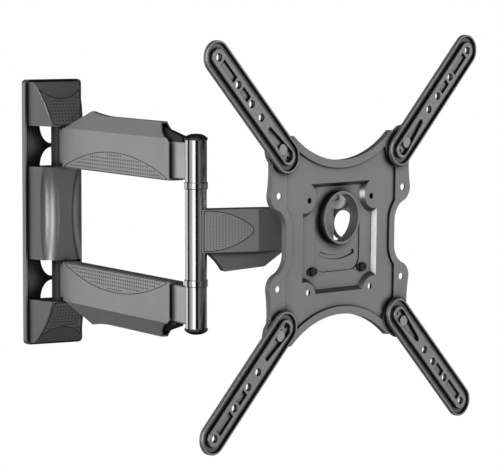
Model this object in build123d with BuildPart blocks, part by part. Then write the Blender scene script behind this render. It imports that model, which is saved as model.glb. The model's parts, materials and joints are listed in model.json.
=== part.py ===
from build123d import *
import os
from math import atan2, cos, degrees, radians, sin, sqrt

os.makedirs("parts", exist_ok=True)

# Frame: the origin is the centre of the wall plate's back face, on the wall.
# X runs to the right seen from the room, Y runs into the wall, Z is up, millimetres.

# Wall plate
plate_width = 74.0
plate_height = 317.0
plate_thickness = 4.0
plate_corner = 5.0
plate_rim_depth = 9.0
plate_rim_wall = 2.0
wall_slot_spacing = 270.0
wall_slot_length = 22.0
wall_slot_width = 9.0

# Hinge gaps between the three wall covers, the same above and below the middle
gap_inner_z = 55.4
gap_outer_z = 104.0
window_half_width = 15.6
window_neck = 4.6
wall_axis_y = -26.0

# Wall covers
cover_wall = 2.5
cover_inset = 1.6
cover_lean = 0.30
cover_top_depth = 17.0
cover_bulge_depth = 37.0
cover_bulge_rise = 0.65
cover_hinge_depth = 48.0
middle_depth = 42.0
middle_cavity_depth = 24.0
scoop_radius = 16.0
scoop_bend_radius = 182.0
scoop_corner_gap = 1.5
scoop_half_sweep = 30.0
panel_inset = 0.2
panel_thickness = 1.0
panel_margin = 5.0
panel_smile = 10.0
panel_gap = 0.9

# Wall hinges
lug_thickness = 4.0
lug_nose_radius = 11.0
lug_gap = 0.4
hinge_pin_radius = 5.0
hinge_head_radius = 8.0
hinge_head_height = 4.0
hinge_clip_thickness = 1.2
hinge_clip_radius = 8.0
hinge_tail = 3.5
bush_wall = 2.0
bush_flange_radius = 9.5
bush_flange_height = 1.2
bush_length = 14.0
wall_barrel_radius = 10.0
running_gap = 0.05
end_float = 0.1

# Arm pair, from the wall hinge to the elbow
elbow_y = -373.0
arm_tube_height = 42.0
arm_tube_width = 9.0
arm_tube_wall = 2.0
arm_cover_wall = 2.0
arm_cover_foot = 2.5
arm_cover_half_width = 9.0
arm_cover_start_y = -53.0
arm_cover_end_y = elbow_y + 47.0
arm_cover_lip = 0.7
hood_start_y = -58.0
hood_peak_y = -119.0
hood_peak_height = 22.0
hood_dip_y = -168.0
hood_height = 17.6
hood_end_y = -298.0
hood_foot_y = -321.0
blade_half_width = 2.5
arm_panel_rise = 22.5
arm_panel_thickness = 0.8
guide_half_width = 5.0
guide_tip_y = -350.0
lower_guide_tip_y = -334.0
guide_tip_height = 4.0

# Elbow column
column_radius = 12.0
shaft_radius = 8.0
collar_radius = 13.0
column_half_height = 103.3
sleeve_half_height = 49.6
collar_height = 7.6
cap_radius = 12.9
cap_skirt_height = 2.2
cap_dome_height = 4.4

# Forearm, from the elbow to the head swivel
forearm_angle = -11.0
forearm_length = 122.0
forearm_mid_z = 4.0
forearm_tube_height = 40.0
forearm_tube_width = 10.0
forearm_tube_wall = 2.0
forearm_cover_half_width = 12.6
forearm_cover_start = 3.0
forearm_cover_wall = 2.0
forearm_cover_height = 47.0
forearm_bend = 68.0
forearm_cover_end = 96.0
forearm_end_half_width = 8.5
skirt_half_width = 8.5
skirt_start = 9.0
skirt_cove = 1.5
skirt_deep_start = 30.0
skirt_deep_end = 76.0
skirt_end = 99.0
skirt_depth = 21.5
skirt_far_depth = 17.0
forearm_panel_margin = 2.0
forearm_panel_shoulder = 15.0
forearm_panel_tip = 65.0
forearm_panel_nose = 6.0
forearm_panel_bulge = 5.0

# Head swivel
swivel_pin_radius = 6.0
swivel_barrel_radius = 12.0
swivel_head_radius = 9.0
swivel_head_height = 3.5
swivel_tail = 3.5
swivel_clip_thickness = 1.2
yoke_thickness = 4.0
yoke_lug_radius = 13.0
yoke_gap = 0.3
yoke_face_offset = 14.0
yoke_half_width = 32.5
yoke_ear_thickness = 3.5
yoke_ear_radius = 13.0

# Tilt pivot, measured from the swivel axis
tilt_forward = 26.0
tilt_height = 38.0
tilt_bolt_radius = 4.0
tilt_washer_thickness = 1.9
tilt_washer_radius = 10.0
cheek_thickness = 3.0
cheek_radius = 14.0
cheek_window_radius = 15.5
cheek_window_v = 10.0
cheek_window_w = -29.5
cheek_foot_v = -8.0
cheek_head_v = 52.0
tilt_nut_radius = 7.0
tilt_nut_height = 6.5
tilt_plate_thickness = 3.0
tilt_plate_half_width = 49.0
tilt_plate_top = 57.0
tilt_plate_bottom = -47.0
tilt_plate_corner = 10.0

# Head pose in the photograph: turned from the wall's normal, and tipped down
head_turn = 17.1
head_tip = 1.0
head_forward = 60.0
head_drop = 2.0

# Screen plate, in its own frame: u to the right, v up, w towards the screen
sheet = 2.5
rim_step = 2.0
flange_depth = 7.0
recess_depth = 4.2
recess_taper = 45.0
waist_half_width = 87.5
ear_half_width = 112.5
shoulder_half_width = 78.0
shoulder_height = 113.5
waist_arc_height = 84.5
ear_hole_u = 100.0
ear_hole_v = 50.0
ear_hole_radius = 3.6
inner_hole_spacing = 100.0
inner_hole_drop = 7.7
inner_hole_radius = 3.2
hole_lip = 1.2
hole_relief_radius = 7.5
rim_band = 8.5
rim_side = 88.0
pivot_offset = 100.0
pivot_clear_radius = 30.0
pivot_pad_radius = 19.0
pivot_pad_height = 0.7
recess_half_width = 59.8
recess_half_height = 60.0
notch_u = 56.0
upper_notch_v = 45.3
upper_notch_radius = 16.7
lower_notch_v = -65.0
lower_notch_radius = 19.0
back_gap = 0.3

# Level adjustment: the screen plate turns a little on the hub
hub_v = 21.5
hub_bore_radius = 26.4
hub_radius = 27.6
hub_flange_radius = 28.9
hub_flange_height = 6.8
level_slot_drop = 43.7
level_slot_radius = 75.0
level_slot_half_angle = 20.0
level_slot_width = 5.6
level_screw_u = 40.0
level_screw_v = -36.0
level_screw_radius = 2.5
level_screw_head_radius = 4.6
level_screw_head_height = 2.4
level_tab_length = 15.0
level_tab_width = 5.0
level_tab_thickness = 1.2
level_travel = 3.2
bib_half_width = 36.0
bib_top = 3.0
bib_bottom = -38.0
bib_corner = 14.0
bib_depth = 0.9

# Screen arms, in their own frame: x from the pivot to the tip
screen_arm_base = 1.0
screen_arm_half_width = 17.7
screen_arm_floor = 1.6
screen_arm_rim = 2.0
screen_arm_rim_height = 4.4
screen_arm_web_height = 5.6
screen_arm_web_half_width = 9.2
screen_arm_back = 11.5
screen_hole_distances = (50.0, 50.0 * sqrt(2), 100.0, 100.0 * sqrt(2))
screen_hole_radius = 4.4
window_width = 8.5
window_depth = 2.4
window_end_gap = 7.0
teardrop_back = 9.5
teardrop_length = 31.0
teardrop_radius = 7.4
teardrop_tip_radius = 3.0
teardrop_depth = 3.4
pivot_mark_offset = 12.8
pivot_mark_radius = 1.8
pivot_bolt_radius = 5.0
pivot_head_radius = 6.0
pivot_head_height = 2.0
pivot_nut_radius = 8.0
pivot_nut_height = 5.0

# Worked-out places
gap_mid_z = (gap_inner_z + gap_outer_z) / 2
gap_height = gap_outer_z - gap_inner_z
plate_top = plate_height / 2
cover_top = plate_top - plate_rim_wall - 2 * lug_gap
cover_bulge_z = (gap_outer_z + cover_top) / 2 + cover_bulge_rise
cover_half_width = plate_width / 2 - cover_inset
tube_bottom_z = gap_mid_z - arm_tube_height / 2
tube_top_z = gap_mid_z + arm_tube_height / 2
arm_cover_bottom_z = tube_bottom_z - arm_cover_foot
arm_cover_top_z = tube_top_z + arm_cover_wall
barrel_bottom_z = gap_inner_z + end_float + bush_flange_height
barrel_top_z = gap_outer_z - end_float - bush_flange_height

forearm_plane = Plane(
    origin=(0, elbow_y, 0),
    x_dir=(cos(radians(forearm_angle)), sin(radians(forearm_angle)), 0),
    z_dir=(0, 0, 1),
)
swivel_point = forearm_plane.from_local_coords((forearm_length, 0, 0))
head_right = (cos(radians(head_turn)), sin(radians(head_turn)), 0)
swivel_plane = Plane(origin=swivel_point, x_dir=head_right, z_dir=(0, 0, 1))
tilt_axis_point = swivel_plane.from_local_coords((0, -tilt_forward, tilt_height))

# The tilted head frame turns about the tilt axis, so the two bodies stay in line there
head_normal = (
    sin(radians(head_turn)) * cos(radians(head_tip)),
    -cos(radians(head_turn)) * cos(radians(head_tip)),
    -sin(radians(head_tip)),
)
tilt_plane = Plane(origin=tilt_axis_point, x_dir=head_right, z_dir=head_normal)
head_plane = Plane(
    origin=tilt_plane.from_local_coords((0, -tilt_height - head_drop, head_forward - tilt_forward)),
    x_dir=head_right,
    z_dir=head_normal,
)
tilt_v = tilt_height + head_drop
tilt_w = tilt_forward - head_forward


def save(part, name):
    """Label a finished piece and write it."""
    part.label = name
    export_step(part, f"parts/{name}.step")


def mirrored(part):
    """The same piece upside down, on the lower arm."""
    with BuildPart() as flipped:
        mirror(part, about=Plane.XY)
    return flipped.part


def ring(plane, low, high, outer, inner=0.0, at=(0.0, 0.0)):
    """A disc or ring across a plane's normal, added to the current part."""
    with BuildSketch(plane.offset(low)) as section:
        with Locations(at):
            Circle(outer)
            if inner > 0:
                Circle(inner, mode=Mode.SUBTRACT)
    extrude(section.sketch, amount=high - low)


# Wall plate with two lens-shaped windows in each hinge gap
with BuildPart() as wall_plate:
    with BuildSketch(Plane.XZ):
        RectangleRounded(plate_width, plate_height, plate_corner)
        with Locations((0, wall_slot_spacing / 2), (0, -wall_slot_spacing / 2)):
            SlotOverall(wall_slot_length, wall_slot_width, rotation=90, mode=Mode.SUBTRACT)
        for edge_z, start in (
            (gap_outer_z, 180),
            (gap_inner_z, 0),
            (-gap_inner_z, 180),
            (-gap_outer_z, 0),
        ):
            with BuildLine():
                EllipticalCenterArc(
                    (0, edge_z),
                    window_half_width,
                    (gap_height - window_neck) / 2,
                    start_angle=start,
                    arc_size=180,
                )
                Line((-window_half_width, edge_z), (window_half_width, edge_z))
            make_face(mode=Mode.SUBTRACT)
    extrude(amount=plate_thickness)
    with BuildSketch(Plane.XZ.offset(plate_thickness)):
        RectangleRounded(plate_width, plate_height, plate_corner)
        RectangleRounded(
            plate_width - 2 * plate_rim_wall,
            plate_height - 2 * plate_rim_wall,
            plate_corner - plate_rim_wall,
            mode=Mode.SUBTRACT,
        )
    extrude(amount=plate_rim_depth - plate_thickness)
save(wall_plate.part, "wall_plate")


def lean_half_width(depth, inset=0.0):
    """Half the width of the wall covers at a distance from the wall."""
    return cover_half_width - cover_lean * depth - inset


def cover_plan(front, inset):
    """Draw the covers' tapering plan from the wall plate to the front."""
    back = plate_thickness
    Polygon(
        (-lean_half_width(back, inset), -back),
        (lean_half_width(back, inset), -back),
        (lean_half_width(front, inset), -front),
        (-lean_half_width(front, inset), -front),
        align=None,
    )


def lug_outline(grow=0.0):
    """Draw a hinge lug: wide at the wall plate, round at the pin."""
    base = lean_half_width(plate_thickness, cover_wall) - 2 * lug_gap
    with BuildSketch(mode=Mode.PRIVATE) as outline:
        with Locations((0, wall_axis_y)):
            Circle(lug_nose_radius)
        with Locations((0, -plate_thickness - cover_wall / 2)):
            Rectangle(2 * base, cover_wall)
        make_hull()
    add(outline.sketch if grow == 0 else offset(outline.sketch, amount=grow, mode=Mode.PRIVATE))


lug_levels = (
    gap_outer_z,
    gap_inner_z - lug_thickness,
    -gap_inner_z,
    -gap_outer_z - lug_thickness,
)
with BuildPart() as hinge_lugs:
    for level in lug_levels:
        with BuildSketch(Plane.XY.offset(level)):
            lug_outline()
            with Locations((0, wall_axis_y)):
                Circle(hinge_pin_radius, mode=Mode.SUBTRACT)
        extrude(amount=lug_thickness)
save(hinge_lugs.part, "hinge_lugs")


def hinge_pin():
    """The upper wall hinge's headed pin, dropped in from above."""
    low = gap_inner_z - lug_thickness - hinge_tail
    high = gap_outer_z + lug_thickness
    with BuildPart() as pin:
        ring(Plane.XY, low, high, hinge_pin_radius, at=(0, wall_axis_y))
        ring(Plane.XY, high, high + hinge_head_height, hinge_head_radius, at=(0, wall_axis_y))
        chamfer(pin.faces().sort_by(Axis.Z)[-1].edges(), 1.0)
    return pin.part


upper_hinge_pin = hinge_pin()
save(upper_hinge_pin, "upper_hinge_pin")
save(mirrored(upper_hinge_pin), "lower_hinge_pin")

with BuildPart() as hinge_pin_clips:
    clip_top = gap_inner_z - lug_thickness
    for low in (clip_top - hinge_clip_thickness, -clip_top):
        ring(
            Plane.XY,
            low,
            low + hinge_clip_thickness,
            hinge_clip_radius,
            hinge_pin_radius,
            at=(0, wall_axis_y),
        )
save(hinge_pin_clips.part, "hinge_pin_clips")


def end_cover_block(inset):
    """The upper wall cover's outer form, drawn in by inset."""
    top = cover_top - inset
    with BuildPart() as block:
        with BuildSketch(Plane.YZ):
            with BuildLine():
                curve = ThreePointArc(
                    (-cover_top_depth + inset, top),
                    (-cover_bulge_depth + inset, cover_bulge_z),
                    (-cover_hinge_depth + inset, gap_outer_z),
                )
                Polyline(
                    curve @ 1,
                    (-plate_thickness, gap_outer_z),
                    (-plate_thickness, top),
                    curve @ 0,
                )
            make_face()
        extrude(amount=plate_width, both=True)
        with BuildSketch(Plane.XY.offset(gap_outer_z)):
            cover_plan(cover_hinge_depth, inset)
        extrude(amount=plate_height, mode=Mode.INTERSECT)
    return block.part


def panel_prism(grow):
    """The dotted panel's outline seen from the front, as a prism."""
    side = lean_half_width(cover_top_depth) - panel_margin
    foot = lean_half_width(cover_hinge_depth) - panel_margin
    top = cover_top - 2 * panel_margin
    low = gap_outer_z + panel_margin / 2
    with BuildPart() as prism:
        with BuildSketch(Plane.XZ):
            with BuildLine():
                smile = ThreePointArc((-side, top), (0, top - panel_smile), (side, top))
                Polyline(smile @ 1, (foot, low), (-foot, low), smile @ 0)
            make_face()
            if grow:
                offset(amount=grow, mode=Mode.REPLACE)
        extrude(amount=plate_height)
    return prism.part


with BuildPart() as upper_cover:
    add(end_cover_block(0))
    fillet(upper_cover.faces().sort_by(Axis.Y)[0].edges().filter_by(Axis.Z, reverse=True), 0.8)
    add(end_cover_block(cover_wall), mode=Mode.SUBTRACT)
    with BuildPart(mode=Mode.PRIVATE) as pocket:
        add(panel_prism(panel_gap))
        add(end_cover_block(panel_inset + panel_thickness), mode=Mode.SUBTRACT)
    add(pocket.part, mode=Mode.SUBTRACT)
save(upper_cover.part, "upper_cover")
save(mirrored(upper_cover.part), "lower_cover")

with BuildPart() as upper_cover_panel:
    add(end_cover_block(panel_inset))
    add(panel_prism(0), mode=Mode.INTERSECT)
    add(end_cover_block(panel_inset + panel_thickness - running_gap), mode=Mode.SUBTRACT)
save(upper_cover_panel.part, "upper_cover_panel")
save(mirrored(upper_cover_panel.part), "lower_cover_panel")


# Middle cover with a scooped groove bowed along each front corner
def corner_groove(side):
    """A round groove bent along a front corner of the middle cover."""
    corner = Vector(side * lean_half_width(middle_depth), -middle_depth, 0)
    outward = Vector(side * 0.65, -0.76, 0).normalized()
    upward = Vector(0, 0, 1)
    axis_point = corner + outward * (scoop_corner_gap + scoop_bend_radius)
    low = radians(scoop_half_sweep)
    inward = outward * -cos(low) - upward * sin(low)
    start = Plane(
        origin=axis_point + inward * scoop_bend_radius,
        x_dir=inward,
        z_dir=upward * cos(low) - outward * sin(low),
    )
    with BuildPart() as groove:
        with BuildSketch(start):
            Circle(scoop_radius)
        revolve(
            axis=Axis(axis_point, upward.cross(outward)), revolution_arc=2 * scoop_half_sweep
        )
    return groove.part


with BuildPart() as middle_cover:
    with BuildSketch(Plane.XY.offset(-gap_inner_z)):
        cover_plan(middle_depth, 0)
    extrude(amount=2 * gap_inner_z)
    for side in (1, -1):
        add(corner_groove(side), mode=Mode.SUBTRACT)
    with BuildSketch(Plane.XY.offset(-gap_inner_z + 2 * lug_thickness)):
        cover_plan(middle_cavity_depth, cover_wall)
    extrude(amount=2 * (gap_inner_z - 2 * lug_thickness), mode=Mode.SUBTRACT)
    for level in (gap_inner_z - lug_thickness - lug_gap, -gap_inner_z):
        with BuildSketch(Plane.XY.offset(level)):
            lug_outline(lug_gap)
        extrude(amount=lug_thickness + lug_gap, mode=Mode.SUBTRACT)
    pin_room = lug_thickness + hinge_tail + 2 * lug_gap
    for low in (gap_inner_z - pin_room, -gap_inner_z):
        with BuildSketch(Plane.XY.offset(low)):
            with Locations((0, wall_axis_y)):
                Circle(hinge_clip_radius + lug_gap)
        extrude(amount=pin_room, mode=Mode.SUBTRACT)
save(middle_cover.part, "middle_cover")


# Wall-hinge barrels and bushes at the arms' wall ends
with BuildPart() as upper_wall_barrel:
    ring(
        Plane.XY,
        barrel_bottom_z,
        barrel_top_z,
        wall_barrel_radius,
        hinge_pin_radius + bush_wall,
        at=(0, wall_axis_y),
    )
save(upper_wall_barrel.part, "upper_wall_barrel")
save(mirrored(upper_wall_barrel.part), "lower_wall_barrel")

with BuildPart() as wall_hinge_bushes:
    bore = hinge_pin_radius + running_gap
    for base, way in (
        (barrel_bottom_z, 1),
        (barrel_top_z, -1),
        (-barrel_bottom_z, -1),
        (-barrel_top_z, 1),
    ):
        plane = Plane(origin=(0, wall_axis_y, base), z_dir=(0, 0, way))
        ring(plane, -bush_flange_height, 0, bush_flange_radius, bore)
        ring(plane, 0, bush_length, hinge_pin_radius + bush_wall, bore)
save(wall_hinge_bushes.part, "wall_hinge_bushes")


# Arm tubes run between the barrels and are coped round them
with BuildPart() as upper_arm_tube:
    with BuildSketch(Plane.XZ.offset(-wall_axis_y)):
        with Locations((0, gap_mid_z)):
            RectangleRounded(arm_tube_width, arm_tube_height, arm_tube_wall)
            Rectangle(
                arm_tube_width - 2 * arm_tube_wall,
                arm_tube_height - 2 * arm_tube_wall,
                mode=Mode.SUBTRACT,
            )
    extrude(amount=wall_axis_y - elbow_y)
    for place, radius in ((wall_axis_y, wall_barrel_radius), (elbow_y, column_radius)):
        with BuildSketch(Plane.XY):
            with Locations((0, place)):
                Circle(radius)
        extrude(amount=gap_outer_z, mode=Mode.SUBTRACT)
save(upper_arm_tube.part, "upper_arm_tube")
save(mirrored(upper_arm_tube.part), "lower_arm_tube")


def arm_shell(inset, run_through):
    """The arm cover's form: a box round the tube under a tent-shaped hood."""
    foot = arm_cover_bottom_z + (arm_cover_foot if inset else 0)
    shelf = arm_cover_top_z
    start = arm_cover_start_y + (run_through if inset else 0)
    end = arm_cover_end_y - (run_through if inset else 0)
    peak = shelf + hood_peak_height - inset
    flat = shelf + hood_height - inset
    with BuildPart() as shell:
        with BuildSketch(Plane.YZ):
            with BuildLine():
                rise = Polyline(
                    (hood_end_y - (hood_end_y - end if inset else 0), flat),
                    (hood_dip_y, flat),
                )
                crest = ThreePointArc(
                    rise @ 1,
                    ((hood_dip_y + hood_peak_y) / 2, flat + (peak - flat) * 0.3),
                    (hood_peak_y - inset, peak),
                )
                front = Polyline(
                    crest @ 1,
                    (hood_start_y - inset, shelf - inset),
                    (start, shelf - inset),
                    (start, foot),
                    (end, foot),
                    (end, shelf - 2 * arm_cover_wall),
                )
                if inset:
                    Line(front @ 1, rise @ 0)
                else:
                    lip = Line(front @ 1, (hood_foot_y, shelf))
                    ThreePointArc(
                        lip @ 1,
                        (
                            (hood_foot_y + hood_end_y) / 2 + hood_height / 5,
                            (shelf + flat) / 2 - hood_height / 7,
                        ),
                        rise @ 0,
                    )
            make_face()
        extrude(amount=plate_width, both=True)
        with BuildSketch(Plane.XZ):
            half = arm_cover_half_width - inset
            blade = blade_half_width - inset / 2
            Polygon(
                (-half, foot),
                (half, foot),
                (half, shelf - inset / 2),
                (blade, shelf + hood_peak_height),
                (-blade, shelf + hood_peak_height),
                (-half, shelf - inset / 2),
                align=None,
            )
        extrude(amount=-2 * elbow_y, mode=Mode.INTERSECT)
    return shell.part


def arm_panel_prism(grow):
    """The dotted, arched panel's outline on the arm cover's sides, as a prism."""
    low = arm_cover_bottom_z + panel_margin / 4
    start = arm_cover_start_y - panel_margin
    end = arm_cover_end_y + panel_margin
    with BuildPart() as prism:
        with BuildSketch(Plane.YZ):
            with BuildLine():
                arch = ThreePointArc(
                    (start, low),
                    ((start + end) / 2, low + arm_panel_rise),
                    (end, low),
                )
                Line(arch @ 1, arch @ 0)
            make_face()
            if grow:
                offset(amount=grow, mode=Mode.REPLACE)
        extrude(amount=plate_width, both=True)
    return prism.part


def arm_panel_plates(low, grow):
    """The two side panels between depth low and the cover's side faces."""
    with BuildPart() as plates:
        add(arm_panel_prism(grow))
        with BuildSketch(Plane.XY):
            Rectangle(
                2 * (arm_cover_half_width - low), 3 * arm_cover_end_y * -1, mode=Mode.ADD
            )
        extrude(amount=plate_height, mode=Mode.SUBTRACT)
    return plates.part


with BuildPart() as upper_arm_cover:
    add(arm_shell(0, 0))
    add(arm_shell(arm_cover_wall, plate_thickness), mode=Mode.SUBTRACT)
    add(arm_panel_plates(panel_inset + arm_panel_thickness, panel_gap), mode=Mode.SUBTRACT)
    lip_low = tube_bottom_z
    lip_high = arm_cover_top_z - 3 * arm_cover_wall
    with BuildSketch(Plane.XZ.offset(-arm_cover_end_y)):
        with Locations((0, (lip_low + lip_high) / 2)):
            Rectangle(2 * (arm_cover_half_width - arm_cover_lip), lip_high - lip_low)
    extrude(amount=-panel_margin + panel_gap + arm_cover_lip, mode=Mode.SUBTRACT)
save(upper_arm_cover.part, "upper_arm_cover")
save(mirrored(upper_arm_cover.part), "lower_arm_cover")

with BuildPart() as upper_arm_panels:
    add(arm_panel_plates(panel_inset + arm_panel_thickness, 0))
    with BuildSketch(Plane.XY):
        Rectangle(2 * (arm_cover_half_width - panel_inset), 3 * arm_cover_end_y * -1)
    extrude(amount=plate_height, mode=Mode.INTERSECT)
save(upper_arm_panels.part, "upper_arm_panels")
save(mirrored(upper_arm_panels.part), "lower_arm_panels")

# Cable guide: a sloping ramp on the tube where the hood opens towards the elbow
def cable_guide(tip_y):
    """The upper arm's guide, down to its tip by the elbow."""
    guide_top = arm_cover_top_z + hood_height - 2 * arm_cover_wall
    with BuildPart() as guide:
        with BuildSketch(Plane.YZ):
            Polygon(
                (hood_end_y + 2 * panel_margin, tube_top_z),
                (hood_end_y + 2 * panel_margin, guide_top - panel_margin),
                (hood_end_y - panel_margin, guide_top - panel_margin / 2),
                (tip_y, tube_top_z + guide_tip_height),
                (tip_y, tube_top_z),
                align=None,
            )
        extrude(amount=guide_half_width, both=True)
        with BuildSketch(Plane.XZ):
            Polygon(
                (-guide_half_width, tube_top_z),
                (guide_half_width, tube_top_z),
                (guide_half_width, arm_cover_top_z),
                (blade_half_width / 2, guide_top),
                (-blade_half_width / 2, guide_top),
                (-guide_half_width, arm_cover_top_z),
                align=None,
            )
        extrude(amount=-2 * elbow_y, mode=Mode.INTERSECT)
    return guide.part


save(cable_guide(guide_tip_y), "upper_cable_guide")
save(mirrored(cable_guide(lower_guide_tip_y)), "lower_cable_guide")

# Elbow column: the arms' barrels, two collars, and the forearm's sleeve on one shaft
with BuildPart() as upper_elbow_barrel:
    ring(
        forearm_plane,
        sleeve_half_height + collar_height + 2 * end_float,
        column_half_height,
        column_radius,
        shaft_radius,
    )
save(upper_elbow_barrel.part, "upper_elbow_barrel")
save(mirrored(upper_elbow_barrel.part), "lower_elbow_barrel")

with BuildPart() as upper_elbow_collar:
    ring(
        forearm_plane,
        sleeve_half_height + end_float,
        sleeve_half_height + collar_height + 2 * end_float,
        collar_radius,
        shaft_radius,
    )
    fillet(upper_elbow_collar.edges().filter_by(GeomType.CIRCLE).group_by(SortBy.RADIUS)[-1], 0.8)
save(upper_elbow_collar.part, "upper_elbow_collar")
save(mirrored(upper_elbow_collar.part), "lower_elbow_collar")

with BuildPart() as elbow_shaft:
    ring(forearm_plane, -column_half_height, column_half_height, shaft_radius)
save(elbow_shaft.part, "elbow_shaft")

with BuildPart() as elbow_top_cap:
    with BuildSketch(Plane(origin=(0, elbow_y, column_half_height), x_dir=(1, 0, 0), z_dir=(0, -1, 0))):
        with BuildLine():
            dome = ThreePointArc(
                (0, cap_skirt_height + cap_dome_height),
                (cap_radius * 0.62, cap_skirt_height + cap_dome_height * 0.78),
                (cap_radius, cap_skirt_height),
            )
            Polyline(dome @ 1, (cap_radius, 0), (0, 0), dome @ 0)
        make_face()
    revolve(axis=Axis((0, elbow_y, 0), (0, 0, 1)))
save(elbow_top_cap.part, "elbow_top_cap")
save(mirrored(elbow_top_cap.part), "elbow_bottom_cap")

# Forearm
with BuildPart() as forearm_sleeve:
    ring(
        forearm_plane,
        -sleeve_half_height,
        sleeve_half_height,
        column_radius,
        shaft_radius + running_gap,
    )
save(forearm_sleeve.part, "forearm_sleeve")

forearm_top = forearm_mid_z + forearm_tube_height / 2
forearm_bottom = forearm_mid_z - forearm_tube_height / 2
swivel_barrel_high = forearm_mid_z + forearm_tube_height / 2 + arm_cover_wall
swivel_barrel_low = forearm_mid_z - forearm_tube_height / 2 - arm_cover_wall

with BuildPart() as forearm_barrel:
    ring(
        forearm_plane,
        swivel_barrel_low,
        swivel_barrel_high,
        swivel_barrel_radius,
        swivel_pin_radius + running_gap,
        at=(forearm_length, 0),
    )
save(forearm_barrel.part, "forearm_barrel")

forearm_side = Plane(
    origin=forearm_plane.origin,
    x_dir=forearm_plane.x_dir,
    z_dir=-forearm_plane.y_dir,
)
with BuildPart() as forearm_tube:
    with BuildSketch(forearm_plane.offset(forearm_bottom)):
        with Locations((forearm_length / 2, 0)):
            Rectangle(forearm_length, forearm_tube_width)
    extrude(amount=forearm_tube_height)
    with BuildSketch(forearm_plane.offset(forearm_bottom + forearm_tube_wall)):
        with Locations((forearm_length / 2, 0)):
            Rectangle(forearm_length, forearm_tube_width - 2 * forearm_tube_wall)
    extrude(amount=forearm_tube_height - 2 * forearm_tube_wall, mode=Mode.SUBTRACT)
    for along, radius in ((0, column_radius), (forearm_length, swivel_barrel_radius)):
        with BuildSketch(forearm_plane.offset(-forearm_length)):
            with Locations((along, 0)):
                Circle(radius)
        extrude(amount=2 * forearm_length, mode=Mode.SUBTRACT)
save(forearm_tube.part, "forearm_tube")


forearm_cover_foot = forearm_mid_z - forearm_cover_height / 2
forearm_panel_level = forearm_cover_half_width - panel_inset - arm_panel_thickness


def forearm_prism(low, high, low_half, high_half, inset):
    """A length of the forearm cover between two distances from the elbow, with its half width at each."""
    with BuildPart() as block:
        with BuildSketch(forearm_plane.offset(forearm_cover_foot + inset)):
            Polygon(
                (low, inset - low_half),
                (high, inset - high_half),
                (high, high_half - inset),
                (low, low_half - inset),
                align=None,
            )
        extrude(amount=forearm_cover_height - 2 * inset)
    return block.part


def forearm_bullet(grow):
    """Outline of the dotted panel on the forearm cover's side, a round-nosed arch lying down."""
    half = forearm_cover_height / 2 - forearm_panel_margin
    start = 2 * forearm_cover_start
    middle = (forearm_panel_shoulder + forearm_panel_tip) / 2
    with BuildSketch() as bullet:
        with BuildLine() as edge:
            for side in (1, -1):
                Line((start, forearm_mid_z), (start, forearm_mid_z + side * half))
                Line(
                    (start, forearm_mid_z + side * half),
                    (forearm_panel_shoulder, forearm_mid_z + side * half),
                )
                ThreePointArc(
                    (forearm_panel_shoulder, forearm_mid_z + side * half),
                    (middle, forearm_mid_z + side * (half / 2 + forearm_panel_bulge)),
                    (forearm_panel_tip, forearm_mid_z),
                )
        make_face(edge.edges())
        fillet(bullet.vertices().sort_by(Axis.X)[-1], forearm_panel_nose)
        if grow:
            offset(amount=grow)
    return bullet.sketch


def skirt_outline():
    """Side view of the cable skirt; it runs up past the cover's foot and is cut off there."""
    foot = forearm_cover_foot
    middle = (skirt_start + skirt_deep_start) / 2
    with BuildSketch() as outline:
        with BuildLine() as edge:
            cove = ThreePointArc(
                (skirt_start, foot),
                (middle + skirt_cove, foot - skirt_depth / 2 + skirt_cove),
                (skirt_deep_start, foot - skirt_depth),
            )
            Polyline(
                cove @ 1,
                (skirt_deep_end, foot - skirt_far_depth),
                (skirt_end, foot),
                (skirt_end, foot + forearm_cover_height),
                (skirt_start, foot + forearm_cover_height),
                cove @ 0,
            )
        make_face(edge.edges())
    return outline.sketch


with BuildPart() as forearm_cover:
    for inset, mode in ((0, Mode.ADD), (forearm_cover_wall, Mode.SUBTRACT)):
        half = forearm_cover_half_width
        add(forearm_prism(forearm_cover_start, forearm_bend, half, half, inset), mode=mode)
    with BuildSketch(forearm_plane.offset(-plate_width)):
        Circle(column_radius)
    extrude(amount=2 * plate_width, mode=Mode.SUBTRACT)
    for side in (1, -1):
        with BuildSketch(forearm_side.offset(side * forearm_panel_level)):
            add(forearm_bullet(panel_gap))
        extrude(amount=side * plate_thickness, mode=Mode.SUBTRACT)
save(forearm_cover.part, "forearm_cover")

with BuildPart() as cable_skirt:
    with BuildSketch(forearm_side):
        add(skirt_outline())
    extrude(amount=skirt_half_width, both=True)
    with BuildSketch(forearm_side):
        add(skirt_outline())
        offset(amount=-forearm_cover_wall)
    extrude(amount=skirt_half_width - forearm_cover_wall, both=True, mode=Mode.SUBTRACT)
    split(bisect_by=forearm_plane.offset(forearm_cover_foot), keep=Keep.BOTTOM)
    with BuildSketch(forearm_plane.offset(forearm_cover_foot)):
        Circle(column_radius)
    extrude(amount=-forearm_cover_height, mode=Mode.SUBTRACT)

with BuildPart() as forearm_end_cover:
    for inset, mode in ((0, Mode.ADD), (forearm_cover_wall, Mode.SUBTRACT)):
        ends = (forearm_cover_half_width, forearm_end_half_width)
        add(forearm_prism(forearm_bend, forearm_cover_end, *ends, inset), mode=mode)
    add(cable_skirt.part)
save(forearm_end_cover.part, "forearm_end_cover")

with BuildPart() as forearm_panels:
    for side in (1, -1):
        with BuildSketch(forearm_side.offset(side * forearm_panel_level)):
            add(forearm_bullet(0))
        extrude(amount=side * arm_panel_thickness)
save(forearm_panels.part, "forearm_panels")

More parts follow.
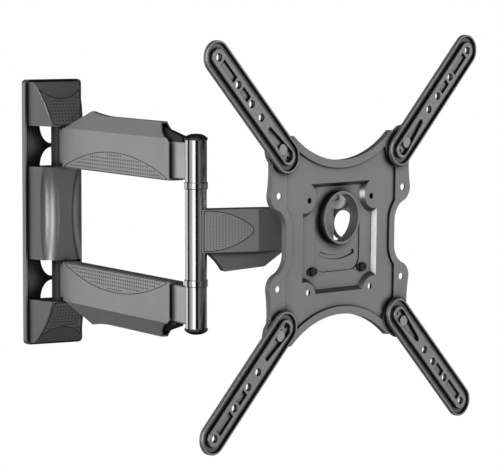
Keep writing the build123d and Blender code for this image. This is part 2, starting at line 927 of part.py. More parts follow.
# Head swivel: a yoke round the forearm's barrel, with two ears for the tilt bolt
yoke_top = swivel_barrel_high + yoke_gap
yoke_bottom = swivel_barrel_low - yoke_gap - yoke_thickness
yoke_front = yoke_face_offset + yoke_thickness
with BuildPart() as swivel_yoke:
    for low in (yoke_bottom, yoke_top):
        with BuildSketch(swivel_plane.offset(low)):
            Circle(yoke_lug_radius)
            with Locations((0, -yoke_front / 2)):
                Rectangle(2 * yoke_lug_radius, yoke_front)
            Circle(swivel_pin_radius, mode=Mode.SUBTRACT)
        extrude(amount=yoke_thickness)
    with BuildSketch(swivel_plane.offset(yoke_bottom)):
        with Locations((0, -yoke_face_offset - yoke_thickness / 2)):
            Rectangle(2 * yoke_half_width, yoke_thickness)
    extrude(amount=tilt_height + yoke_ear_radius - yoke_bottom)
    for side in (1, -1):
        inner = side * (yoke_half_width - yoke_ear_thickness)
        ear_plane = Plane(
            origin=swivel_plane.from_local_coords((inner, 0, 0)),
            x_dir=-swivel_plane.y_dir,
            z_dir=swivel_plane.x_dir * side,
        )
        up = side
        with BuildSketch(ear_plane):
            with Locations((tilt_forward, up * -tilt_height)):
                Circle(yoke_ear_radius)
            with Locations(((tilt_forward + yoke_face_offset) / 2, up * -tilt_height)):
                Rectangle(tilt_forward - yoke_face_offset, 2 * yoke_ear_radius)
            with Locations((tilt_forward, up * -tilt_height)):
                Circle(tilt_bolt_radius, mode=Mode.SUBTRACT)
        extrude(amount=yoke_ear_thickness)
save(swivel_yoke.part, "swivel_yoke")

with BuildPart() as swivel_pin:
    pin_low = yoke_bottom - swivel_tail
    pin_high = yoke_top + yoke_thickness
    ring(swivel_plane, pin_low, pin_high, swivel_pin_radius)
    ring(swivel_plane, pin_high, pin_high + swivel_head_height, swivel_head_radius)
    chamfer(swivel_pin.faces().sort_by(Axis.Z)[-1].edges(), 1.0)
save(swivel_pin.part, "swivel_pin")

with BuildPart() as swivel_pin_clip:
    ring(
        swivel_plane,
        yoke_bottom - swivel_clip_thickness,
        yoke_bottom,
        swivel_head_radius,
        swivel_pin_radius,
    )
save(swivel_pin_clip.part, "swivel_pin_clip")

# Tilt bolt across the yoke's ears, with washers, a nut and the tilt bracket's cheeks
tilt_cross = Plane(
    origin=tilt_axis_point,
    x_dir=(0, 0, 1),
    z_dir=head_right,
)
cheek_inner = yoke_half_width + tilt_washer_thickness + end_float
cheek_outer = cheek_inner + cheek_thickness
with BuildPart() as tilt_bolt:
    bolt_end = cheek_outer + end_float + tilt_nut_height
    ring(tilt_cross, -cheek_outer - end_float, bolt_end, tilt_bolt_radius)
    with BuildSketch(tilt_cross.offset(-cheek_outer - end_float)):
        RegularPolygon(tilt_nut_radius, 6)
    extrude(amount=-tilt_nut_height)
save(tilt_bolt.part, "tilt_bolt")

with BuildPart() as tilt_nut:
    with BuildSketch(tilt_cross.offset(cheek_outer + end_float)):
        RegularPolygon(tilt_nut_radius, 6)
        Circle(tilt_bolt_radius, mode=Mode.SUBTRACT)
    extrude(amount=tilt_nut_height)
save(tilt_nut.part, "tilt_nut")

with BuildPart() as tilt_washers:
    for low in (yoke_half_width, -yoke_half_width - tilt_washer_thickness):
        ring(tilt_cross, low, low + tilt_washer_thickness, tilt_washer_radius, tilt_bolt_radius)
save(tilt_washers.part, "tilt_washers")

main_front = -rim_step
recess_floor = main_front - recess_depth
recess_back = recess_floor - sheet
bracket_front = recess_back - back_gap
bracket_back = bracket_front - tilt_plate_thickness
with BuildPart() as tilt_bracket:
    with BuildSketch(head_plane.offset(bracket_back)):
        with Locations((0, (tilt_plate_top + tilt_plate_bottom) / 2)):
            RectangleRounded(
                2 * tilt_plate_half_width, tilt_plate_top - tilt_plate_bottom, tilt_plate_corner
            )
        with Locations((0, hub_v)):
            Circle(hub_radius, mode=Mode.SUBTRACT)
        with Locations((level_screw_u, level_screw_v), (-level_screw_u, level_screw_v)):
            Circle(level_screw_radius, mode=Mode.SUBTRACT)
    extrude(amount=tilt_plate_thickness)
    for low in (cheek_inner, -cheek_outer):
        cheek_plane = Plane(
            origin=head_plane.from_local_coords((low, 0, 0)),
            x_dir=head_plane.y_dir,
            z_dir=head_plane.x_dir,
        )
        with BuildSketch(cheek_plane):
            with BuildSketch(mode=Mode.PRIVATE) as cheek_outline:
                with Locations((tilt_v, tilt_w)):
                    Circle(cheek_radius)
                with Locations((cheek_window_v, cheek_window_w)):
                    Circle(cheek_window_radius + cheek_thickness)
                with Locations(((cheek_foot_v + cheek_head_v) / 2, bracket_back)):
                    Rectangle(cheek_head_v - cheek_foot_v, end_float)
                make_hull()
            add(cheek_outline.sketch)
            with Locations((cheek_window_v, cheek_window_w)):
                Circle(cheek_window_radius, mode=Mode.SUBTRACT)
            with Locations((tilt_v, tilt_w)):
                Circle(tilt_bolt_radius + running_gap, mode=Mode.SUBTRACT)
        extrude(amount=cheek_thickness)
save(tilt_bracket.part, "tilt_bracket")

with BuildPart() as level_hub:
    flange_low = recess_floor + end_float
    hub_centre = (0, hub_v)
    ring(head_plane, bracket_back, flange_low, hub_radius, hub_bore_radius, at=hub_centre)
    ring(
        head_plane,
        flange_low,
        flange_low + hub_flange_height,
        hub_flange_radius,
        hub_bore_radius,
        at=hub_centre,
    )
save(level_hub.part, "level_hub")

with BuildPart() as level_screws:
    for u in (level_screw_u, -level_screw_u):
        place = (u, level_screw_v)
        head_low = recess_floor + end_float
        ring(head_plane, bracket_back, head_low, level_screw_radius, at=place)
        with BuildSketch(head_plane.offset(head_low)):
            with Locations(place):
                Rectangle(level_tab_length, level_tab_width)
        extrude(amount=level_tab_thickness)
        with BuildSketch(head_plane.offset(head_low)):
            with Locations(place):
                RegularPolygon(level_screw_head_radius, 6, rotation=90)
        extrude(amount=level_screw_head_height)
save(level_screws.part, "level_screws")


# Screen plate
def plate_outline():
    """Draw the screen plate's outline, the same in all four quarters."""
    ear_neck = (waist_half_width + ear_half_width) / 2
    arc_radius = (shoulder_half_width**2 + (shoulder_height - waist_arc_height) ** 2) / (
        2 * (shoulder_height - waist_arc_height)
    )
    with BuildLine() as outline:
        for su in (1, -1):
            for sv in (1, -1):

                def at(u, v):
                    return (su * u, sv * v)

                Line(at(waist_half_width, 0), at(waist_half_width, 14))
                ThreePointArc(
                    at(waist_half_width, 14), at(waist_half_width + 4, 26.5), at(ear_neck, 34)
                )
                ThreePointArc(
                    at(ear_neck, 34), at(ear_half_width - 2.5, 41), at(ear_half_width, ear_hole_v + 2)
                )
                ThreePointArc(
                    at(ear_half_width, ear_hole_v + 2),
                    at(ear_half_width - 2, 66),
                    at(ear_half_width - 2.5, 80),
                )
                ThreePointArc(
                    at(ear_half_width - 2.5, 80),
                    at(ear_half_width - 9.5, 104),
                    at(shoulder_half_width, shoulder_height),
                )
                RadiusArc(
                    at(shoulder_half_width, shoulder_height),
                    at(0, waist_arc_height),
                    arc_radius * su * sv,
                )
    make_face(outline.edges())


pivots = [(su * pivot_offset, sv * pivot_offset) for sv in (1, -1) for su in (-1, 1)]
ear_holes = [(su * ear_hole_u, sv * ear_hole_v) for su in (1, -1) for sv in (1, -1)]
inner_half = inner_hole_spacing / 2
inner_holes = [
    (su * inner_half, sv * inner_half - inner_hole_drop) for su in (1, -1) for sv in (1, -1)
]
lower_inner_holes = [(u, v) for u, v in inner_holes if v < 0]


level_window = CenterArc(
    (0, hub_v - level_slot_drop + level_slot_radius),
    level_slot_radius,
    -90 - level_slot_half_angle,
    2 * level_slot_half_angle,
)
screw_reach = sqrt(level_screw_u**2 + (level_screw_v - hub_v) ** 2)
screw_heading = degrees(atan2(level_screw_v - hub_v, level_screw_u))
screw_tracks = [
    CenterArc((0, hub_v), screw_reach, heading - level_travel, 2 * level_travel)
    for heading in (screw_heading, 180 - screw_heading)
]

with BuildPart() as recess_notches:
    with BuildSketch(head_plane.offset(main_front)):
        for side in (notch_u, -notch_u):
            with Locations((side, upper_notch_v)):
                Circle(upper_notch_radius)
            with Locations((side, lower_notch_v)):
                Circle(lower_notch_radius)
    extrude(amount=-recess_depth, taper=-recess_taper)
    with BuildSketch(head_plane.offset(recess_back)):
        Rectangle(2 * (recess_half_width + sheet), 2 * (recess_half_height + sheet))
    extrude(amount=main_front - recess_back, mode=Mode.INTERSECT)

with BuildPart() as screen_plate:
    back = main_front - sheet
    with BuildSketch(head_plane.offset(back)):
        plate_outline()
    extrude(amount=-back)
    with BuildSketch(head_plane.offset(-flange_depth)):
        plate_outline()
        offset(amount=-sheet, mode=Mode.SUBTRACT)
    extrude(amount=flange_depth + back)
    with BuildSketch(head_plane.offset(-flange_depth)):
        with Locations(*pivots):
            Circle(pivot_nut_radius + 2 * sheet)
    extrude(amount=flange_depth + back, mode=Mode.SUBTRACT)
    with BuildSketch(head_plane.offset(main_front)):
        plate_outline()
        offset(amount=-rim_band, mode=Mode.REPLACE)
        Rectangle(2 * rim_side, 4 * shoulder_height, mode=Mode.INTERSECT)
        with Locations(*pivots):
            Circle(pivot_clear_radius, mode=Mode.SUBTRACT)
    extrude(amount=2 * rim_step, mode=Mode.SUBTRACT)
    with BuildSketch(head_plane.offset(recess_back)):
        Rectangle(2 * (recess_half_width + sheet), 2 * (recess_half_height + sheet))
    extrude(amount=back - recess_back)
    with BuildSketch(head_plane.offset(main_front)):
        Rectangle(2 * recess_half_width, 2 * recess_half_height)
    extrude(amount=-recess_depth, taper=recess_taper, mode=Mode.SUBTRACT)
    add(recess_notches.part)
    with BuildSketch(head_plane.offset(recess_floor - bib_depth)):
        with Locations((0, (bib_top + bib_bottom) / 2 + bib_corner)):
            RectangleRounded(
                2 * bib_half_width, bib_top - bib_bottom + 2 * bib_corner, bib_corner
            )
    extrude(amount=bib_depth, mode=Mode.SUBTRACT)
    with BuildSketch(head_plane.offset(recess_back)):
        with Locations((0, hub_v)):
            Circle(hub_radius + running_gap)
        SlotArc(level_window, level_slot_width)
        for track in screw_tracks:
            SlotArc(track, 2 * level_screw_radius + 4 * running_gap)
    extrude(amount=recess_depth, mode=Mode.SUBTRACT)
    with BuildSketch(head_plane.offset(back)):
        with Locations(*pivots):
            Circle(pivot_pad_radius)
    extrude(amount=pivot_pad_height - back)
    with BuildSketch(head_plane.offset(-4 * flange_depth)):
        with Locations(*ear_holes):
            Circle(ear_hole_radius)
        with Locations(*inner_holes):
            Circle(inner_hole_radius)
        with Locations(*pivots):
            Circle(pivot_bolt_radius)
    extrude(amount=8 * flange_depth, mode=Mode.SUBTRACT)
    for front, holes in ((0, ear_holes), (main_front, lower_inner_holes)):
        with BuildSketch(head_plane.offset(front - hole_lip)):
            with Locations(*holes):
                Circle(hole_relief_radius)
        extrude(amount=-4 * flange_depth, mode=Mode.SUBTRACT)
save(screen_plate.part, "screen_plate")

head_low_w = screen_arm_base + screen_arm_web_height - teardrop_depth + end_float
with BuildPart() as arm_pivot_bolts:
    for place in pivots:
        shank_low = back - pivot_nut_height
        ring(head_plane, shank_low, head_low_w, pivot_bolt_radius, at=place)
        ring(head_plane, head_low_w, head_low_w + pivot_head_height, pivot_head_radius, at=place)
save(arm_pivot_bolts.part, "arm_pivot_bolts")

with BuildPart() as arm_pivot_nuts:
    for place in pivots:
        with BuildSketch(head_plane.offset(back - pivot_nut_height)):
            with Locations(place):
                RegularPolygon(pivot_nut_radius, 6)
                Circle(pivot_bolt_radius, mode=Mode.SUBTRACT)
        extrude(amount=pivot_nut_height)
save(arm_pivot_nuts.part, "arm_pivot_nuts")


def screen_arm(pivot, heading):
    """A pressed arm: a rimmed tray round a raised web with the screen bolt holes."""
    plane = Plane(
        origin=head_plane.from_local_coords((pivot[0], pivot[1], screen_arm_base)),
        x_dir=head_plane.x_dir * cos(radians(heading)) + head_plane.y_dir * sin(radians(heading)),
        z_dir=head_plane.z_dir,
    )
    reach = screen_hole_distances[-1] + screen_arm_back
    middle = (screen_hole_distances[-1] - screen_arm_back) / 2
    with BuildPart() as arm:
        with BuildSketch(plane):
            with Locations((middle, 0)):
                SlotCenterToCenter(reach, 2 * screen_arm_half_width)
        extrude(amount=screen_arm_rim_height)
        fillet(arm.edges().group_by(Axis(plane.origin, plane.z_dir))[-1], 0.6)
        with BuildSketch(plane.offset(screen_arm_floor)):
            with Locations((middle, 0)):
                SlotCenterToCenter(reach, 2 * (screen_arm_half_width - screen_arm_rim))
        extrude(amount=screen_arm_rim_height, mode=Mode.SUBTRACT)
        with BuildSketch(plane.offset(screen_arm_floor)):
            with Locations((middle, 0)):
                SlotCenterToCenter(reach, 2 * screen_arm_web_half_width)
        extrude(amount=screen_arm_web_height - screen_arm_floor)
        fillet(arm.faces().sort_by(Axis(plane.origin, plane.z_dir))[-1].edges(), 0.6)
        web_top = plane.offset(screen_arm_web_height)
        with BuildSketch(web_top):
            make_teardrop()
        extrude(amount=-teardrop_depth, mode=Mode.SUBTRACT)
        with BuildSketch(web_top):
            for near, far in zip(screen_hole_distances[1:], screen_hole_distances[2:]):
                with Locations(((near + far) / 2, 0)):
                    Rectangle(far - near - 2 * window_end_gap, window_width)
        extrude(amount=-window_depth, mode=Mode.SUBTRACT)
        with BuildSketch(plane):
            with Locations(*[(distance, 0) for distance in screen_hole_distances]):
                Circle(screen_hole_radius)
            with Locations((-pivot_mark_offset, 0)):
                Circle(pivot_mark_radius)
            Circle(pivot_bolt_radius + running_gap)
        extrude(amount=2 * screen_arm_web_height, mode=Mode.SUBTRACT)
    return arm.part


def make_teardrop():
    """Draw the teardrop sunk round the pivot bolt's head."""
    with BuildSketch(mode=Mode.PRIVATE) as drop:
        with Locations((-teardrop_back, 0)):
            Circle(teardrop_radius)
        with Locations((teardrop_length, 0)):
            Circle(teardrop_tip_radius)
        make_hull()
    add(drop.sketch)


for name, pivot, heading in zip(
    ("upper_left", "upper_right", "lower_left", "lower_right"), pivots, (135, 45, 225, 315)
):
    save(screen_arm(pivot, heading), f"{name}_screen_arm")
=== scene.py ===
import json
import math

import bmesh
import bpy
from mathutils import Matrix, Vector
from mathutils.bvhtree import BVHTree


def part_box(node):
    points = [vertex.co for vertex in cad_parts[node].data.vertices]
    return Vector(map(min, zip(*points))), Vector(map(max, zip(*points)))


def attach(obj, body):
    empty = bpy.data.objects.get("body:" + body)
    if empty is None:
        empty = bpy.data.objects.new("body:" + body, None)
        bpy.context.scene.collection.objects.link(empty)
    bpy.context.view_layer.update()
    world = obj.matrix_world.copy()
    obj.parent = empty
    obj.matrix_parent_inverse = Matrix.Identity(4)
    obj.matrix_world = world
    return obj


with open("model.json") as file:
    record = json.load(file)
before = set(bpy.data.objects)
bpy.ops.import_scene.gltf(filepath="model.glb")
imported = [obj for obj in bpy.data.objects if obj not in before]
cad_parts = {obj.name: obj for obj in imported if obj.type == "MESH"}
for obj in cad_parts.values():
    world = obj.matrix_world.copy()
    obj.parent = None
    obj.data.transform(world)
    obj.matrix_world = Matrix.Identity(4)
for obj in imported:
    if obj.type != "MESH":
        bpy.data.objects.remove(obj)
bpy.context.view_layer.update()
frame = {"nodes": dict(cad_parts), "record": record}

# Lengths are in metres and angles in degrees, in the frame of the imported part.
nodes = frame["nodes"]
slot_of = {part["node"]: part["material_slot"] for part in frame["record"]["subparts"]}
scene = bpy.context.scene
scene.view_settings.view_transform = "Standard"

white = (1, 1, 1, 1)
black = (0, 0, 0, 1)


def add_object(name, data):
    """A new object in the scene."""
    item = bpy.data.objects.new(name, data)
    scene.collection.objects.link(item)
    return item


# Finishes: fine grain in bump and gloss, slow drift in colour, and painted shade that darkens the
# colour in grooves and recesses
blue_trace = 1.01
drift_scale = 14.0
drift_detail = 4.0
drift_low = 0.3
drift_high = 0.7
grain_detail = 3.0
grain_depth = 0.0002
gloss_below = 0.05
gloss_above = 0.07
# Painted shade in grooves: ambient occlusion rays, and the occlusion values at which the shade is
# full and at which it ends
shade_rays = 8
full_shade_below = 0.7
no_shade_above = 0.93
# Sockets of the colour mix node, which share their names with its other sockets
mix_share = 0
mix_first = 6
mix_second = 7
mix_result = 2


def add_noise(tree, place, scale, detail):
    """Noise that is fixed to the piece."""
    noise = tree.nodes.new("ShaderNodeTexNoise")
    noise.inputs["Scale"].default_value = scale
    noise.inputs["Detail"].default_value = detail
    tree.links.new(place.outputs["Object"], noise.inputs["Vector"])
    return noise.outputs["Fac"]


def add_ramp(tree, value, low, low_colour, high, high_colour):
    """A colour that runs from the low one to the high one as the value rises."""
    ramp = tree.nodes.new("ShaderNodeValToRGB")
    first, last = ramp.color_ramp.elements
    first.position = low
    first.color = low_colour
    last.position = high
    last.color = high_colour
    tree.links.new(value, ramp.inputs["Fac"])
    return ramp.outputs["Color"]


def paint_groove_shade(tree, colour, shade, reach):
    """The colour with painted shade: darker where walls stand close by, found by ambient occlusion.
    """
    occlusion = tree.nodes.new("ShaderNodeAmbientOcclusion")
    occlusion.samples = shade_rays
    occlusion.inputs["Distance"].default_value = reach
    deepest_shade = (1 - shade, 1 - shade, 1 - shade, 1)
    painted_shade = add_ramp(tree, occlusion.outputs["AO"], full_shade_below, deepest_shade, no_shade_above, white)
    product = tree.nodes.new("ShaderNodeMix")
    product.data_type = "RGBA"
    product.blend_type = "MULTIPLY"
    product.inputs[mix_share].default_value = 1.0
    tree.links.new(colour, product.inputs[mix_first])
    tree.links.new(painted_shade, product.inputs[mix_second])
    return product.outputs[mix_result]


def make_finish(name, level, rough, metallic=0.0, specular=0.5, grain=1200.0, bump=0.05,
                vary=0.06, shade=0.0, reach=0.012):
    """A grey finish: level is its lightness, vary its drift, shade how dark the painted shade in its
    grooves is.
    """
    material = bpy.data.materials.new(name)
    material.use_nodes = True
    tree = material.node_tree
    shader = tree.nodes["Principled BSDF"]
    shader.inputs["Metallic"].default_value = metallic
    shader.inputs["Specular IOR Level"].default_value = specular
    place = tree.nodes.new("ShaderNodeTexCoord")
    grey = (level, level, level * blue_trace)
    darker = (*[channel * (1 - vary) for channel in grey], 1)
    lighter = (*[channel * (1 + vary) for channel in grey], 1)
    drift = add_noise(tree, place, drift_scale, drift_detail)
    colour = add_ramp(tree, drift, drift_low, darker, drift_high, lighter)
    # Painted shade: the base colour is darkened in grooves and recesses
    if shade:
        colour = paint_groove_shade(tree, colour, shade, reach)
    tree.links.new(colour, shader.inputs["Base Color"])
    fine = add_noise(tree, place, grain, grain_detail)
    gloss = tree.nodes.new("ShaderNodeMapRange")
    gloss.inputs["To Min"].default_value = rough - gloss_below
    gloss.inputs["To Max"].default_value = rough + gloss_above
    tree.links.new(fine, gloss.inputs["Value"])
    tree.links.new(gloss.outputs["Result"], shader.inputs["Roughness"])
    relief = tree.nodes.new("ShaderNodeBump")
    relief.inputs["Strength"].default_value = bump
    relief.inputs["Distance"].default_value = grain_depth
    tree.links.new(fine, relief.inputs["Height"])
    tree.links.new(relief.outputs["Normal"], shader.inputs["Normal"])
    return material


plastic_grain = 1500
finish_values = {
    "satin_grey_paint": dict(level=0.4, rough=0.32, metallic=0.85, shade=0.9),
    # A lighter copy of the satin grey paint with a narrower painted shade: painted light on the
    # screen arms
    "screen_arm_lit_paint": dict(level=0.46, rough=0.32, metallic=0.85, shade=0.9, reach=0.005),
    "bracket_paint": dict(level=0.6, rough=0.34, metallic=0.85, shade=0.6),
    "hinge_paint": dict(level=0.02, rough=0.4, specular=0.2, shade=0.9),
    # Wide, deep painted shade where the wall plate is surrounded by covers and lugs
    "plate_paint": dict(level=0.28, rough=0.34, metallic=0.8, shade=0.95, reach=0.03),
    "wall_cover_plastic": dict(level=0.28, rough=0.3, metallic=0.8, grain=plastic_grain, shade=0.85),
    "arm_cover_plastic": dict(level=0.38, rough=0.34, metallic=0.8, grain=plastic_grain, shade=0.85),
    "dotted_plastic": dict(level=0.08, rough=0.4, grain=plastic_grain, shade=0.85, reach=0.003),
    "arm_dotted_plastic": dict(level=0.42, rough=0.4, metallic=0.8, grain=plastic_grain, shade=0.85,
                               reach=0.003),
    "black_plastic": dict(level=0.008, rough=0.35, grain=plastic_grain, vary=0.15),
    "polished_chrome": dict(level=0.85, rough=0.08, metallic=1.0, grain=400, bump=0.02, vary=0.03),
    "bearing_nylon": dict(level=0.02, rough=0.45, grain=1300, vary=0.1),
    "fastener_steel": dict(level=0.6, rough=0.3, metallic=0.8, grain=700, vary=0.1, shade=0.8),
    # A lighter grey with little painted shade for the swivel yoke: painted light where it is seen
    # through the hub
    "lit_yoke_grey": dict(level=0.55, rough=0.4, metallic=0.2, shade=0.3),
    "panel_dots": dict(level=0.012, rough=0.5, grain=plastic_grain, vary=0.1),
    "fine_dots": dict(level=0.12, rough=0.45, metallic=0.4, grain=plastic_grain, vary=0.1),
}
finishes = {name: make_finish(name, **values) for name, values in finish_values.items()}

# Each piece takes its slot's finish, apart from these
# The swivel yoke takes a lighter grey, painted light where it is seen through the hub
own_finish = {"level_hub": "satin_grey_paint", "swivel_yoke": "lit_yoke_grey"}
# The screen arms take the lighter copy of the satin grey paint, painted light
for corner in ("upper_left", "upper_right", "lower_left", "lower_right"):
    own_finish[f"{corner}_screen_arm"] = "screen_arm_lit_paint"
for name, node in nodes.items():
    node.data.materials.clear()
    node.data.materials.append(finishes[own_finish.get(name, slot_of[name])])

# Rounded edges of the moulded covers
soft_covers = ("upper_cover", "middle_cover", "lower_cover",
               "upper_arm_cover", "lower_arm_cover", "forearm_cover")
edge_width = 0.0009
edge_segments = 2
edge_from_angle = 38
crease_angle = 12
weld_distance = 0.000002
flat_face_weight = 100


def soften(node):
    """Round the sharp edges a little, so that they catch light, and keep flat faces flat."""
    weld = node.modifiers.new("weld", "WELD")
    weld.merge_threshold = weld_distance
    round_over = node.modifiers.new("edge", "BEVEL")
    round_over.width = edge_width
    round_over.segments = edge_segments
    round_over.limit_method = "ANGLE"
    round_over.angle_limit = math.radians(edge_from_angle)
    crease = node.modifiers.new("crease", "EDGE_SPLIT")
    crease.split_angle = math.radians(crease_angle)
    shading = node.modifiers.new("normals", "WEIGHTED_NORMAL")
    shading.mode = "FACE_AREA"
    shading.weight = flat_face_weight
    shading.keep_sharp = True


for name in soft_covers:
    soften(nodes[name])

# Raised dots on the dotted panels
dome_sides = 8
# Each ring of a dome: its share of the radius, and of the height above the panel
dome_rings = ((1.0, -0.25), (0.86, 0.5), (0.5, 0.9))
# A dome needs room round it, in radii, without a step deeper than so many times that room,
# on a face that is turned towards the viewer by at least this cosine
edge_margin = 2.0
step_limit = 3
facing_limit = 0.3


def face_tree(name):
    """The node's own surface, to set pieces down on."""
    mesh = nodes[name].data
    corners = [vertex.co for vertex in mesh.vertices]
    return BVHTree.FromPolygons(corners, [list(face.vertices) for face in mesh.polygons])


def add_dome(mesh, seat, normal, up, radius, height):
    """One low dome, with its foot a little under the surface."""
    side = normal.cross(up).normalized()
    rise = side.cross(normal).normalized()
    rings = []
    for share, lift in dome_rings:
        ring = []
        for corner in range(dome_sides):
            turn = math.tau * corner / dome_sides
            spread = side * math.cos(turn) + rise * math.sin(turn)
            ring.append(mesh.verts.new(seat + spread * radius * share + normal * height * lift))
        rings.append(ring)
    for lower, upper in zip(rings, rings[1:]):
        for corner in range(dome_sides):
            after = (corner + 1) % dome_sides
            mesh.faces.new((lower[corner], lower[after], upper[after], upper[corner]))
    mesh.faces.new(rings[-1])
    mesh.faces.new(rings[0][::-1])


def raise_dots(name, node, body, across, up, into, pitch, radius, height, finish):
    """A grid of domes on a panel, seen along the direction into; its edges are kept clear."""
    tree = face_tree(node)
    low, high = (Vector(corner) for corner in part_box(node))
    reach = (high - low).length
    half_columns = int(reach / pitch[0] / 2) + 1
    half_rows = int(reach / pitch[1] / 2) + 1
    start = (low + high) / 2 - into * reach
    clear = edge_margin * radius
    around = [across * clear, across * -clear, up * clear, up * -clear]
    mesh = bmesh.new()
    for row in range(-half_rows, half_rows + 1):
        for column in range(-half_columns, half_columns + 1):
            spot = start + across * pitch[0] * column + up * pitch[1] * row
            hit = tree.ray_cast(spot, into)
            seat, normal, distance = hit[0], hit[1], hit[3]
            if seat is None or normal.dot(into) > -facing_limit:
                continue
            edges = [tree.ray_cast(spot + step, into) for step in around]
            if any(edge[0] is None or abs(edge[3] - distance) > step_limit * clear for edge in edges):
                continue
            add_dome(mesh, seat, normal, up, radius, height)
    bmesh.ops.recalc_face_normals(mesh, faces=mesh.faces)
    data = bpy.data.meshes.new(name)
    mesh.to_mesh(data)
    mesh.free()
    for face in data.polygons:
        face.use_smooth = True
    data.materials.append(finishes[finish])
    piece = add_object(name, data)
    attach(piece, body)


cover_dots = dict(pitch=(0.0042, 0.0038), radius=0.001, height=0.0004, finish="panel_dots")
arm_dots = dict(pitch=(0.0056, 0.0042), radius=0.0011, height=0.00035, finish="panel_dots")
forearm_dots = dict(pitch=(0.0036, 0.0028), radius=0.0007, height=0.0002, finish="fine_dots")
rightward = Vector((1, 0, 0))
wallward = Vector((0, 1, 0))
upward = Vector((0, 0, 1))
for place in ("upper", "lower"):
    raise_dots(f"{place}_cover_dots", f"{place}_cover_panel", "wall_unit",
               rightward, upward, wallward, **cover_dots)
    for side, into in (("left", rightward), ("right", -rightward)):
        raise_dots(f"{place}_arm_{side}_dots", f"{place}_arm_panels", "arm_pair",
                   wallward, upward, into, **arm_dots)

# The forearm points right and this far forward at rest
forearm_forward = 11.0
forearm_turn = math.radians(-forearm_forward)
along = Vector((math.cos(forearm_turn), math.sin(forearm_turn), 0))
aside = Vector((-along.y, along.x, 0))
for side, into in (("near", aside), ("far", -aside)):
    raise_dots(f"forearm_{side}_dots", "forearm_panels", "forearm",
               along, upward, into, **forearm_dots)

# Floor and world: white where they are seen, plain where they only give light
floor_height = -1.1
floor_reach = 30
floor_grey = 0.7
world_level = 0.25


def seen_directly(tree):
    """1 where the camera, a reflection or glass looks straight at the surface."""
    path = tree.nodes.new("ShaderNodeLightPath")
    first = tree.nodes.new("ShaderNodeMath")
    first.operation = "MAXIMUM"
    tree.links.new(path.outputs["Is Camera Ray"], first.inputs[0])
    tree.links.new(path.outputs["Is Glossy Ray"], first.inputs[1])
    second = tree.nodes.new("ShaderNodeMath")
    second.operation = "MAXIMUM"
    tree.links.new(first.outputs[0], second.inputs[0])
    tree.links.new(path.outputs["Is Transmission Ray"], second.inputs[1])
    return second.outputs[0]


def white_when_seen(tree, out_kind, plain_kind, seen_kind):
    """Mix two shaders by how they are looked at, and return the plain one."""
    tree.nodes.clear()
    out = tree.nodes.new(out_kind)
    mix = tree.nodes.new("ShaderNodeMixShader")
    plain = tree.nodes.new(plain_kind)
    seen = tree.nodes.new(seen_kind)
    seen.inputs["Color"].default_value = white
    seen.inputs["Strength"].default_value = 1.0
    tree.links.new(seen_directly(tree), mix.inputs["Fac"])
    tree.links.new(plain.outputs[0], mix.inputs[1])
    tree.links.new(seen.outputs[0], mix.inputs[2])
    tree.links.new(mix.outputs[0], out.inputs["Surface"])
    return plain


def flat_corners(left, right, near, far, height):
    """The corners of a level sheet, in the order that strip_mesh takes."""
    return [(x, y, height) for y in (near, far) for x in (left, right)]


def strip_mesh(name, corners):
    """A strip of four-sided faces; each two corners are one edge across it."""
    data = bpy.data.meshes.new(name)
    starts = range(0, len(corners) - 2, 2)
    data.from_pydata(corners, [], [(first, first + 1, first + 3, first + 2) for first in starts])
    return data


floor_corners = flat_corners(-floor_reach, floor_reach, -floor_reach, floor_reach, floor_height)
floor = add_object("floor", strip_mesh("floor", floor_corners))
floor_material = bpy.data.materials.new("pale_floor")
floor_material.use_nodes = True
matte = white_when_seen(floor_material.node_tree, "ShaderNodeOutputMaterial",
                        "ShaderNodeBsdfDiffuse", "ShaderNodeEmission")
matte.inputs["Color"].default_value = (floor_grey, floor_grey, floor_grey, 1)
floor.data.materials.append(floor_material)

world = bpy.data.worlds.new("studio")
scene.world = world
world.use_nodes = True
dim = white_when_seen(world.node_tree, "ShaderNodeOutputWorld",
                      "ShaderNodeBackground", "ShaderNodeBackground")
dim.inputs["Color"].default_value = white
dim.inputs["Strength"].default_value = world_level

# Cards: bands of light and dark round the object, in front of a black ring
aim = Vector((0.1, -0.3, 0.0))
card_radius = 4.2
rear_radius = 4.15
back_radius = 4.4
cards_bottom = -1.05
cards_top = 2.6
sheet_reach = 4.5
ring_step = 15
ring_least_steps = 4


def hang_card(name, corners, level):
    """A studio card for the reflections alone, out of the picture; level 1 is white."""
    data = strip_mesh(name, corners)
    material = bpy.data.materials.new(name)
    material.use_nodes = True
    shader = material.node_tree.nodes["Principled BSDF"]
    shader.inputs["Base Color"].default_value = black
    shader.inputs["Roughness"].default_value = 1.0
    shader.inputs["Specular IOR Level"].default_value = 0.0
    shader.inputs["Emission Color"].default_value = white
    shader.inputs["Emission Strength"].default_value = level
    data.materials.append(material)
    card = add_object(name, data)
    card.visible_camera = False
    card.visible_diffuse = False
    card.visible_shadow = False


def hang_ring(name, radius, start, end, low, high, level):
    """A curved card round the object; angles run from the room side towards +X."""
    steps = max(ring_least_steps, int((end - start) / ring_step))
    corners = []
    for step in range(steps + 1):
        turn = math.radians(start + (end - start) * step / steps)
        x = aim.x + radius * math.sin(turn)
        y = aim.y - radius * math.cos(turn)
        corners += [(x, y, low), (x, y, high)]
    hang_card(name, corners, level)


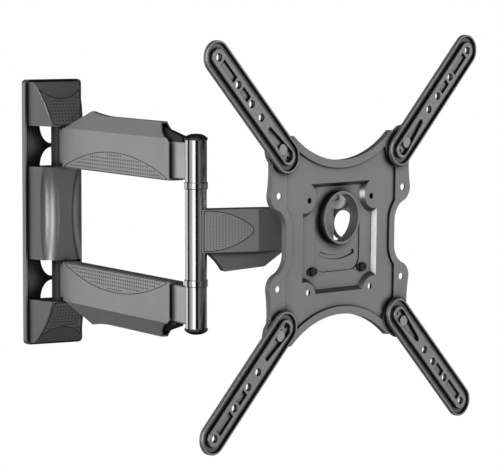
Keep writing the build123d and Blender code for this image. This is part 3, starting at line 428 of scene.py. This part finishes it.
# Each band runs from its own angle to the next one
band_angles = (-124, -102, -86, -65, -35, -7, 10, 32, 72, 92, 180)
band_levels = (0.01, 0.3, 0.45, 1.2, 0.01, 0.13, 0.2, 0.01, 0.12, 0.03)
for start, end, level in zip(band_angles, band_angles[1:], band_levels):
    hang_ring(f"card_{start}", card_radius, start, end, cards_bottom, cards_top, level)
hang_ring("card_far_left", card_radius, start=-180, end=band_angles[0],
          low=-0.85, high=0.25, level=0.65)
hang_ring("card_far_left_top", card_radius, start=-180, end=band_angles[0],
          low=0.25, high=1.1, level=0.42)
hang_ring("card_rear", rear_radius, start=105, end=180, low=cards_bottom, high=-0.25, level=0.35)
hang_ring("card_back", back_radius, start=-180, end=180, low=cards_bottom, high=cards_top, level=0.0)
above_corners = flat_corners(left=-0.7, right=0.9, near=-1.1, far=0.6, height=2.55)
hang_card("card_above", above_corners, level=0.35)
for name, height in (("card_top", cards_top), ("card_low", cards_bottom)):
    sheet_corners = flat_corners(-sheet_reach, sheet_reach, -sheet_reach, sheet_reach, height)
    hang_card(name, sheet_corners, level=0.0)

# Lamps: the mirror-bright pieces are left out and take their light from the cards alone
mirrors = bpy.data.collections.new("mirrors")
for name, node in nodes.items():
    if slot_of[name] == "polished_chrome":
        mirrors.objects.link(node)
for linked in mirrors.collection_objects:
    linked.light_linking.link_state = "EXCLUDE"


def softbox(name, place, size, level, gloss=True):
    """An area lamp aimed at the object; level 1 lights a facing surface to its own colour."""
    data = bpy.data.lights.new(name, "AREA")
    data.shape = "RECTANGLE"
    data.size, data.size_y = size
    spot = Vector(place)
    data.energy = level * math.pi**2 * (spot - aim).length_squared
    lamp = add_object(name, data)
    lamp.location = spot
    lamp.rotation_euler = (aim - spot).to_track_quat("-Z", "Y").to_euler()
    lamp.visible_glossy = gloss
    lamp.light_linking.receiver_collection = mirrors


softbox("key", place=(-2.95, -0.84, 0.2), size=(1.4, 1.6), level=0.7, gloss=False)
softbox("edge", place=(-2.85, -1.26, -0.1), size=(0.8, 1.6), level=0.14)
softbox("high", place=(-2.2, -1.25, 2.0), size=(1.0, 1.4), level=0.3)
softbox("strip", place=(-1.13, -3.17, -0.2), size=(1.0, 1.6), level=0.2)
softbox("fill", place=(-1.15, -3.22, -0.2), size=(0.4, 1.2), level=0.14, gloss=False)
softbox("front", place=(3.0, -2.1, -0.1), size=(3.0, 3.0), level=0.13)

# Camera, fitted to the photograph; lens and sensor are in millimetres
camera_place = (-1.53688, -3.27497, 0.28157)
camera_down = 4.913
camera_right = 28.934
camera_lens = 217.15
camera_sensor = 36.0
camera_far_clip = 100

camera_data = bpy.data.cameras.new("camera")
camera_data.sensor_fit = "HORIZONTAL"
camera_data.sensor_width = camera_sensor
camera_data.lens = camera_lens
camera_data.clip_end = camera_far_clip
camera = add_object("camera", camera_data)
camera.location = camera_place
camera.rotation_euler = (math.radians(90 - camera_down), 0, math.radians(-camera_right))
scene.camera = camera
